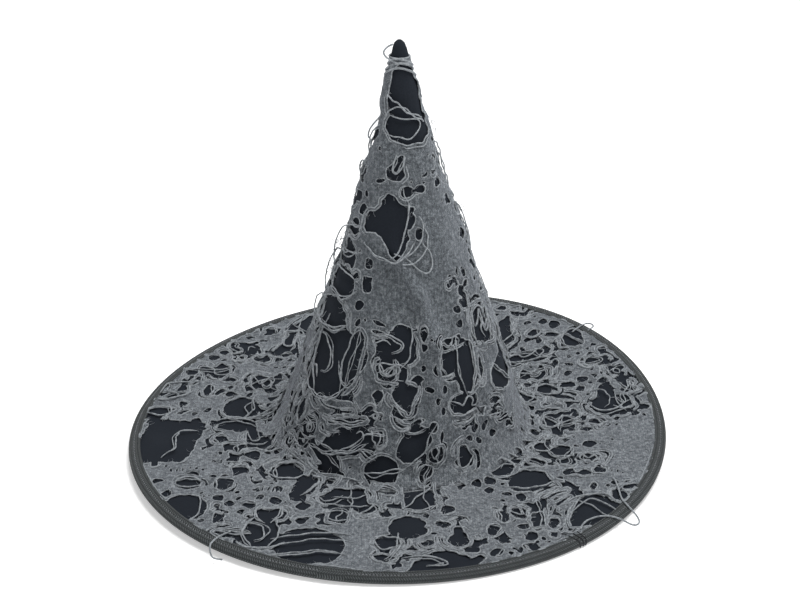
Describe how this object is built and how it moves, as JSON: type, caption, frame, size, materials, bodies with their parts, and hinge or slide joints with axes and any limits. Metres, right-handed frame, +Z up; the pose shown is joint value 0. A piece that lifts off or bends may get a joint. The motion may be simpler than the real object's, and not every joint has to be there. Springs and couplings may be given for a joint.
{
  "type": "witch hat",
  "caption": "Pointed cloth costume hat with a wide flat wired brim, bound edge and a torn knit gauze overlay.",
  "frame": {"origin": "centre of the hat on the surface that its brim rests on", "axes": "+Z up along the crown towards the point, -Y to the front, +X to the right of someone facing the front"},
  "size_m": [0.4, 0.4, 0.297],
  "materials": {
    "black_cloth": "matt plain cloth",
    "interlining": "matt non-woven",
    "black_thread": "matt thread",
    "band_ribbon": "ribbed ribbon",
    "wire": "drawn",
    "wire_sleeve": "crimped",
    "binding_tape": "ribbed bias tape",
    "grey_thread": "matt thread",
    "grey_gauze": "heathered torn knit",
    "grey_yarn": "matt yarn"
  },
  "bodies": {
    "root": {"crown_cloth": "black_cloth", "crown_interlining": "interlining", "crown_back_seam": "black_cloth", "crown_seam_stitches": "black_thread", "head_band": "band_ribbon", "opening_stitches": "black_thread", "brim_top_cloth": "black_cloth", "brim_stiffener": "interlining", "brim_under_cloth": "black_cloth", "brim_wire": "wire", "brim_wire_sleeve": "wire_sleeve", "edge_binding": "binding_tape", "binding_lap": "binding_tape", "binding_tack": "black_thread", "binding_top_stitches": "grey_thread", "binding_under_stitches": "grey_thread", "crown_gauze": "grey_gauze", "brim_gauze": "grey_gauze", "loose_yarn_right_rim": "grey_yarn", "loose_yarn_left_rim": "grey_yarn", "loose_yarn_back_rim": "grey_yarn", "loose_yarn_tip": "grey_yarn"}
  },
  "joints": []
}
